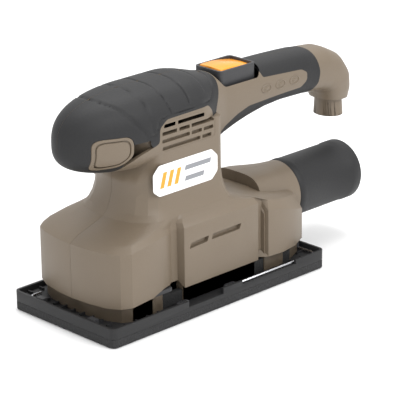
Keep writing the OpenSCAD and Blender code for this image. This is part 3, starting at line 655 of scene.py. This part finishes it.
def upper_rings(inset, around, fine):
    """Rings of the head, neck, handle and tail, from the nose to the tail's mouth."""
    turns = circle(around)
    deep = flank - head_nose - inset
    nose = [head_nose + inset + deep * (1 - math.cos(math.pi / 2 * k / fine)) for k in range(1, fine + 1)]
    middle = list(np.linspace(flank, neck_end, int(fine * 1.45)))[1:]
    handle = list(np.linspace(neck_end, 116, 26))[1:-1]
    rings = []
    for x in nose + middle + handle:
        blend = min(1.0, max(0.0, (x - neck_start) / (neck_end - neck_start)))
        blend = blend * blend * (3 - 2 * blend)
        floor_z = np.interp(x, [u[0] for u in under], [u[1] for u in under])
        top_z = 137.5 - max(0, x - 60) ** 2 * 0.0006
        ring = []
        for t in turns:
            r = head_reach(min(x, 0), t, inset)
            y, z = r * math.cos(t), head_middle + r * math.sin(t)
            if blend:
                tall = (top_z - handle_middle if math.sin(t) > 0 else handle_middle - floor_z) - inset
                y2 = (handle_half - inset) * math.copysign(abs(math.cos(t)) ** (2 / 2.6), math.cos(t))
                z2 = handle_middle + tall * math.copysign(abs(math.sin(t)) ** (2 / 2.6), math.sin(t))
                y, z = y + (y2 - y) * blend, z + (z2 - z) * blend
            ring.append((x, y, z))
        rings.append(ring)
    spine = np.array(tail_spine)
    steps = np.linspace(0, len(spine) - 1, 22)
    for s in steps:
        x, z, tilt, wide, tall = (np.interp(s, range(len(spine)), spine[:, k]) for k in range(5))
        lean = math.radians(tilt)
        ring = []
        for t in turns:
            y2 = (wide - inset) * math.copysign(abs(math.cos(t)) ** (2 / 2.5), math.cos(t))
            u = (tall - inset) * math.copysign(abs(math.sin(t)) ** (2 / 2.5), math.sin(t))
            ring.append((x + u * math.sin(lean), y2, z + u * math.cos(lean)))
        rings.append(ring)
    return rings


def prism(name, outline, near=-70.0, far=-seam):
    """Side view in X and Z, drawn across the machine; near and far are its ends in Y."""
    return skin(name, [[(x, y, z) for x, z in outline] for y in (near, far)])


def eased(outline, reach, steps=4):
    """Closed outline with its corners rounded."""
    points = []
    for k, at in enumerate(outline):
        at = np.array(at, float)
        before, after = (np.array(outline[(k + d) % len(outline)], float) for d in (-1, 1))
        a = at + (before - at) * min(0.5, reach / np.linalg.norm(before - at))
        b = at + (after - at) * min(0.5, reach / np.linalg.norm(after - at))
        for t in np.linspace(0, 1, steps + 1):
            points.append(tuple((1 - t) ** 2 * a + 2 * t * (1 - t) * at + t * t * b))
    return points


def left_half(piece):
    return carve(piece, block("left_half", (-150, -90, -10), (220, -seam, 200)), "INTERSECT")


def mirrored(piece, name):
    """Right-hand twin of a left-hand piece."""
    shape = bmesh.new()
    shape.from_mesh(piece.data)
    for v in shape.verts:
        v.co.y = -v.co.y
    bmesh.ops.reverse_faces(shape, faces=shape.faces)
    mesh = bpy.data.meshes.new(name)
    shape.to_mesh(mesh)
    shape.free()
    twin = bpy.data.objects.new(name, mesh)
    bpy.context.scene.collection.objects.link(twin)
    return twin


# Side views, in X and Z, of the rubber on the palm grip, the rubber on the handle and the inlay.
palm_view = eased([(-120, 60), (-66, 60), (-64, 96), (-58.9, 102.2), (-49.9, 107.9), (-35.8, 112.6), (-35.2, 122),
                   (-29, 126.3), (7.5, 126.9), (12.6, 121.6), (14, 112.5), (17.2, 112), (19.8, 120),
                   (25.5, 128.5), (30, 139), (30, 160), (-120, 160)], 2.2)
rear_view = eased([(66, 150), (66.2, 134), (68.5, 128.6), (104, 126.3), (109, 123.4), (109, 118), (104, 114),
                   (85, 113.6), (55.7, 112.6), (45, 109), (34, 102.5), (27, 94), (27, 80), (112, 80),
                   (115.6, 106), (120.4, 113), (121.6, 121), (119.5, 133), (118, 150)], 1.6)
inlay_view = eased([(-81, 103.4), (-81, 120.4), (-76.5, 122.5), (-58, 121.8), (-54.6, 118.4), (-54.6, 108.4),
                    (-62, 102.4), (-76.5, 101.6)], 3.5)
inlay_x, inlay_z = -68, 112
skin_depth = 2.2

outer = left_half(skin("outer_form", upper_rings(0, 180, 60)))
inner = left_half(skin("inner_form", upper_rings(skin_depth, 96, 36)))

shell = left_half(skin("shell", body_rings()))
soften(shell, 2.0, 3, 17)
upper = copied(outer)
carve(upper, joined("covered", prism("palm", palm_view), prism("rear", rear_view)))
carve(upper, inner, "UNION", keep=True)


def about_rocker(length, width, radius):
    """Rounded rectangle in plan, centred on the rocker."""
    return [(x + rocker_x, y) for x, y in rounded_outline(length, width, radius)]


platform = soften(plate("platform", about_rocker(38, 29, 5), 118, 138.7), 1.2, 3, 50)
carve(upper, left_half(platform), "UNION")
duct = []
for x, radius, power in ((58, 23.2, 3.6), (66, 23, 3.2), (79, 21.4, 2.6), (88, 20.6, 2.2),
                         (sleeve_front - 0.6, 20.2, 2)):
    duct.append([(x, radius * math.copysign(abs(math.cos(t)) ** (2 / power), math.cos(t)),
                  port_height + radius * math.copysign(abs(math.sin(t)) ** (2 / power), math.sin(t)))
                 for t in circle(72)])


def pipe(name, radius, front, back, sides=72):
    """Round solid along the dust port's axis."""
    return skin(name, [[(x, radius * math.cos(t), port_height + radius * math.sin(t)) for t in circle(sides)]
                       for x in (front, back)])


carve(shell, left_half(skin("duct", duct)), "UNION")
carve(shell, left_half(pipe("tube", port_radius, 70, 123)), "UNION")
carve(shell, upper, "UNION")
for hollow in (skin("body_hollow", body_rings(2.5)),
               disc(-16, 0, 21, head_middle - 3, head_middle + 15, 48),
               block("nose_hollow", (-76, -13, 102), (-26, 13, 130)),
               block("handle_hollow", (-4, -10.5, 111), (118, 10.5, 130)),
               pipe("tube_hollow", tube_bore, 60, 130)):
    carve(shell, hollow)
carve(shell, block("rocker_hole", (32, -13, 125), (66, 13, 150)))
mouth_x = 146.2
slot_half = 1.15
# Rows of vent slots: height of the row, then where each slot starts and ends.
slot_rows = ((108.3, ((-33, -1), (0.6, 8.5))), (113, ((-33.2, -10), (-8.4, 0.4), (2, 10.2))),
             (117.7, ((-33, -20.8), (-18.8, -10), (-8.4, 10.8))), (122.4, ((-31.5, -22), (-19.8, 2.6))))
window_view = eased([(-34.4, 106.2), (-34.4, 121), (-29, 125.2), (7, 125.2), (11.6, 120.5), (11.6, 106.2)], 2.5)
carve(shell, prism("window", window_view, -70, -28.35))


def slot_view(z, a, b):
    return eased([(a, z - slot_half), (a, z + slot_half), (b, z + slot_half), (b, z - slot_half)], 0.5, 2)


carve(shell, joined("window_slots", *[prism("slot", slot_view(z, a, b), -70, -22)
                                      for z, row in slot_rows for a, b in row]))
carve(shell, joined("panel_slots", *[prism("slot", eased(s, 0.8, 3), -70, -36) for s in
                                     ([(-23, 43.6), (-21.6, 47.2), (-6.2, 48), (-7.4, 44.4)],
                                      [(-3.8, 44.6), (-2.6, 48.2), (22.4, 48.4), (20.8, 44.8)])]))
mouth = [[(mouth_x + (9.0 - k * 1.2) * math.cos(t), (10.6 - k * 1.2) * math.sin(t), 84 + k * 20)
          for t in circle(40)] for k in (0, 1)]
carve(shell, outward(skin("tail_mouth", mouth)))
smooth(shell, 32)
shell.name = "left_shell"
taupe = moulded("taupe_plastic", linear(116, 103, 87), linear(102, 90, 75), 0.45, 1700, 0.00005)
right_shell = mirrored(shell, "right_shell")
place(shell, "housing", "housing_shell", taupe, "housing_left")
place(right_shell, "housing", "housing_shell", taupe, "housing_right")

# Palm grip: soft rubber moulded over the head.
# Grooves cross it where the fingers lie, inside a border groove that dips at each flank.
border = ((-67, 0), (-64.8, 24), (-57, 50), (-51.6, 66), (-47, 76), (-44.4, 84), (-41.6, 87), (-38.2, 84),
          (-36, 77), (-34, 70), (-31, 67.5), (-27, 67), (7.7, 64), (14, 60), (18.5, 50), (22.5, 32), (25, 0))
crossings = (((-44, 0), (-42.4, 29), (-40.9, 56), (-40, 80)),
             ((-27, 0), (-26.4, 40), (-24.8, 58), (-24.5, 64)),
             ((-8, 0), (-8.5, 37), (-8.1, 60)), ((8.5, 0), (8.5, 30), (8.2, 48)))


def flowing(points, steps=8):
    """Smooth curve through points."""
    p = [np.array(q, float) for q in (points[0], *points, points[-1])]
    curve = []
    for a, b, c, d in zip(p, p[1:], p[2:], p[3:]):
        for t in np.linspace(0, 1, steps, endpoint=False):
            curve.append(0.5 * (2 * b + (c - a) * t + (2 * a - 5 * b + 4 * c - d) * t * t
                                + (3 * b - a - 3 * c + d) * t ** 3))
    return np.array(curve + [p[-1]])


def away(points, line):
    """Distance of each point from a line of straight stretches."""
    best = np.full(len(points), 1e9)
    for a, b in zip(line, line[1:]):
        d = b - a
        t = np.clip(((points - a) @ d) / max(1e-9, d @ d), 0, 1)
        best = np.minimum(best, np.linalg.norm(points - a - t[:, None] * d, axis=1))
    return best


def press_grooves(piece):
    """Sinks the grooves into the outer form of the head."""
    count = len(piece.data.vertices)
    co, out = np.zeros(count * 3), np.zeros(count * 3)
    piece.data.vertices.foreach_get("co", co)
    piece.data.vertices.foreach_get("normal", out)
    co, out = co.reshape(-1, 3) * 1000, out.reshape(-1, 3)
    angle = np.degrees(np.arctan2(-co[:, 1], co[:, 2] - head_middle))
    unrolled = np.stack([co[:, 0], angle * 0.46], axis=1)
    sunk = np.zeros(count)
    for line, width, depth in [(border, 0.75, 1.0)] + [(c, 0.65, 0.8) for c in crossings]:
        line = flowing(line)
        line[:, 1] *= 0.46
        sunk = np.maximum(sunk, depth * np.exp(-(away(unrolled, line) / width) ** 2))
    sunk[(co[:, 0] > 34) | (np.abs(co[:, 1]) < seam + 0.01) & (np.abs(out[:, 1]) > 0.9)] = 0
    out[:, 1][np.abs(co[:, 1]) < seam + 0.01] = 0
    co -= out * sunk[:, None]
    piece.data.vertices.foreach_set("co", (co / 1000).ravel())
    piece.data.update()


palm = copied(outer)
press_grooves(palm)
carve(palm, prism("palm", palm_view), "INTERSECT")
carve(palm, inner, keep=True)
carve(palm, block("under_skin", (-60, -28.4, 60), (21, 5, head_middle)))
carve(palm, prism("inlay", inlay_view))
soften(palm, 0.45, 2, 55)
smooth(palm, 45)
palm.name = "palm_grip_left"
grip_rubber = moulded("grip_rubber", linear(38, 38, 39), linear(27, 27, 28), 0.55, 1100, 0.00009,
                      Specular_IOR_Level=0.35)
right_palm = mirrored(palm, "palm_grip_right")
place(palm, "housing", "overmould", grip_rubber, "front_grip_left")
place(right_palm, "housing", "overmould", grip_rubber, "front_grip_right")

# Inlays: a hard pad in each flank of the palm grip, of the same plastic as the housing.
# It is a piece of its own, set in an opening in the rubber; a fine groove runs round its middle.
pad_inlay = copied(outer)


def inlay_scaled(long, tall):
    """The inlay's side view, drawn smaller about its middle."""
    return [(inlay_x + (x - inlay_x) * long, inlay_z + (z - inlay_z) * tall) for x, z in inlay_view]


carve(pad_inlay, prism("inlay", inlay_scaled(0.975, 0.975)), "INTERSECT")
carve(pad_inlay, inner, keep=True)
ring_tool = prism("ring_tool", inlay_scaled(0.84, 0.82), -40, -10)
carve(ring_tool, prism("ring_core", inlay_scaled(0.76, 0.73), -45, -5))
sunk_form = skin("sunk_form", upper_rings(1.1, 90, 34))
carve(ring_tool, sunk_form)
carve(pad_inlay, ring_tool)
soften(pad_inlay, 0.35, 2, 50)
smooth(pad_inlay, 45)
pad_inlay.name = "inlay_left"
right_inlay = mirrored(pad_inlay, "inlay_right")
place(pad_inlay, "housing", "housing_shell", taupe, "grip_inlay_left")
place(right_inlay, "housing", "housing_shell", taupe, "grip_inlay_right")

# Rear grip: the same soft rubber as the palm grip's, moulded over the handle.
# It covers the handle's top, back band and underside, and leaves a bare panel on each flank.
rear = outer
carve(rear, prism("rear", rear_view), "INTERSECT")
carve(rear, inner)
carve(rear, plate("platform_room", about_rocker(38.4, 29.4, 5), 117, 150))
soften(rear, 0.45, 2, 55)
smooth(rear, 45)
rear.name = "rear_grip_skin_left"
right_rear = mirrored(rear, "rear_grip_skin_right")
place(rear, "housing", "overmould", grip_rubber, "rear_grip_left")
place(right_rear, "housing", "overmould", grip_rubber, "rear_grip_right")

# Badges: thin white plastic plates stuck to the tower's flanks.
# Each has cut corners and is printed with plain slanted bars in two colours.
badge_x, badge_z, badge_long, badge_tall = -14.5, 88.5, 27.5, 10
badge_y = 28.5


def bar(name, low_x, low_z, long, tall, lean, near, far):
    """Slanted flat bar on the badge."""
    return skin(name, [[(low_x, y, low_z), (low_x + lean, y, low_z + tall),
                        (low_x + long + lean, y, low_z + tall), (low_x + long, y, low_z)] for y in (near, far)])


white_print = moulded("white_print", linear(250, 250, 250), linear(240, 240, 240), 0.3, 2500, 0.00001)
orange_print = moulded("orange_print", linear(245, 160, 40), linear(235, 148, 30), 0.35, 2500, 0.00001)
grey_print = moulded("grey_print", linear(140, 142, 146), linear(125, 127, 131), 0.35, 2500, 0.00001)
badge_left, badge_right = badge_x - badge_long, badge_x + badge_long
badge_low, badge_high = badge_z - badge_tall, badge_z + badge_tall
plate_outline = eased([(badge_left, badge_low + 4), (badge_left, badge_high - 5), (badge_left + 5, badge_high),
                       (badge_right - 5, badge_high), (badge_right, badge_high - 5), (badge_right, badge_low + 5),
                       (badge_right - 5, badge_low), (badge_left + 5, badge_low)], 1.2)
badge = soften(prism("badge", plate_outline, -badge_y - 0.5, -badge_y), 0.2, 2, 50)
printed = (-badge_y - 0.62, -badge_y - 0.45)
marks = [bar("chevron", badge_x - 22 + 6 * k, badge_z - 5, 3.2, 10, 3, *printed) for k in range(3)]
lines = [bar("line", badge_x - 1, badge_z + dz, long, 3.0, 0.9, *printed) for dz, long in ((2, 22), (-5, 16))]
for group, index in (([badge], 0), (marks, 1), (lines, 2)):
    for piece in group:
        piece.data.materials.clear()
        for f in (white_print, orange_print, grey_print):
            piece.data.materials.append(f)
        piece.data.polygons.foreach_set("material_index", [index] * len(piece.data.polygons))
badge = joined("badge_plate_left", badge, *marks, *lines)
right_badge = mirrored(badge, "badge_plate_right")
index = [p.material_index for p in badge.data.polygons]
for piece, stands_for in ((badge, "badge_left"), (right_badge, "badge_right")):
    place(smooth(piece, 30), "housing", "badge", (white_print, orange_print, grey_print), stands_for)
    piece.data.polygons.foreach_set("material_index", index)

# Switch: a black nylon frame clipped into the handle's top, with an amber rocker cap on a cross pin.
# The cap is moulded in clear-coated plastic, crowned along its length, with low ridges at its front.
pivot, rocker_long, rocker_wide, tilt = 131.5, 28, 20, 5
frame_piece = plate("switch_frame", about_rocker(32, 24, 3), 127.5, 139.2)
carve(frame_piece, plate("frame_hole", about_rocker(28.8, 20.8, 1.5), 129, 145))
carve(frame_piece, block("switch_room", (40, -6, 120), (58, 6, 145)))
place(smooth(soften(frame_piece, 0.5, 3, 40), 40), "housing", "dark_plastic", black_nylon, "switch_bezel")
rows = []
for k in range(25):
    u = -1 + 2 * k / 24
    x = u * rocker_long / 2
    top = 7.9 - 0.9 * abs(u) ** 1.5 + (0.25 if 2 < k < 10 and k % 2 else 0)
    edge = 0.6 if abs(u) < 0.99 else 1.4
    low = max(0.2, math.sqrt(max(0, 196 - x * x)) - 9) * 0.2
    w = rocker_wide / 2
    rows.append([(x, -w, low), (x, w, low), (x, w, top - edge), (x, w - 0.8, top), (x, 0, top + 0.35),
                 (x, -w + 0.8, top), (x, -w, top - edge)])
lean = math.radians(tilt)
cap = skin("rocker_cap", [[(rocker_x + x * math.cos(lean) + z * math.sin(lean), y,
                            pivot + z * math.cos(lean) - x * math.sin(lean)) for x, y, z in row] for row in rows])
f = Finish("amber_cap", Coat_Weight=0.3, Coat_Roughness=0.1)
cloudy = f.noise(45, 3)
f.to("Base Color", f.mix(cloudy, linear(240, 158, 6), linear(230, 140, 4)))
f.to("Roughness", 0.3 + 0.1 * f.noise(1400))
f.bump(f.noise(1800), 0.00003)
place(smooth(soften(cap, 0.4, 2, 40), 40), "rocker", "amber_cap", f.material, "switch_rocker")

# Handle ovals: three small raised rings on each flank of the handle.
# They are part of the plastic moulding and show on the bare panel, each with a low centre.
oval_z = 120.8
oval_rings = []
for x in (71, 84, 97):
    path = [Vector((x + 4.2 * math.cos(a), -handle_half + 0.15, oval_z + 2.6 * math.sin(a))) for a in circle(32)]
    rings = [[tuple(p + 0.55 * (math.cos(t) * (p - Vector((x, -handle_half, oval_z))).normalized() +
                                math.sin(t) * Vector((0, 1, 0)))) for t in circle(10)] for p in path]
    oval_rings.append(skin("oval", rings + [rings[0]], False))
    centre = skin("centre", [[(x + 2 * math.cos(a) * s, -handle_half + y, oval_z + 1.1 * math.sin(a) * s)
                              for a in circle(24)] for s, y in ((1, 0.8), (1, 0.0), (0.8, -0.25))])
    oval_rings.append(centre)
ovals = joined("handle_ovals_left", *oval_rings)
right_ovals = mirrored(ovals, "handle_ovals_right")
for piece in (ovals, right_ovals):
    place(smooth(piece, 60), "housing", "housing_shell", taupe)

# Housing screws: five steel screws that hold the two shells together.
# They are driven from the right into bosses in the left shell.
coat(screw_steel, "steel_screw", "housing_screws")

# Dust adapter: a black sleeve pushed over the outlet tube, to take a hose.
# It is a plain turned form, open at both ends, with a thicker lip at each.
profile = [(sleeve_front, 18.7), (sleeve_front, 19.6), (sleeve_front + 0.8, 20.3), (sleeve_front + 5, 20.5),
           (sleeve_front + 5.6, 20.1), (sleeve_back - 9, 20.1), (sleeve_back - 8.2, 20.5),
           (sleeve_back - 0.9, 20.5), (sleeve_back, 19.8), (sleeve_back, 16.8), (sleeve_back - 0.7, 16),
           (sleeve_front + 24, 16), (sleeve_front + 24, 18.7)]
sleeve_turns = [2 * math.pi * k / 96 for k in range(97)]
sleeve = skin("dust_sleeve", [[(x, r * math.cos(a), port_height + r * math.sin(a)) for x, r in profile]
                              for a in sleeve_turns], False)
place(smooth(outward(sleeve), 40), "adapter", "adapter_plastic", grip_rubber, "dust_adapter")

# Cord inlet: a soft rubber bush held in the handle's tail, where a cord would enter.
# Its own solid stays, with a finish only.
coat(soft_rubber, "black_rubber", "cord_bush")

# Floor finish: a plain pale ground with a very faint cloud.
# It isn't part of the machine.
f = Finish("pale_floor")
f.to("Base Color", f.mix(f.noise(3), (0.93, 0.93, 0.93, 1), (0.9, 0.9, 0.9, 1)))
f.to("Roughness", 0.7 + 0.1 * f.noise(30))
floor.data.materials.append(f.material)
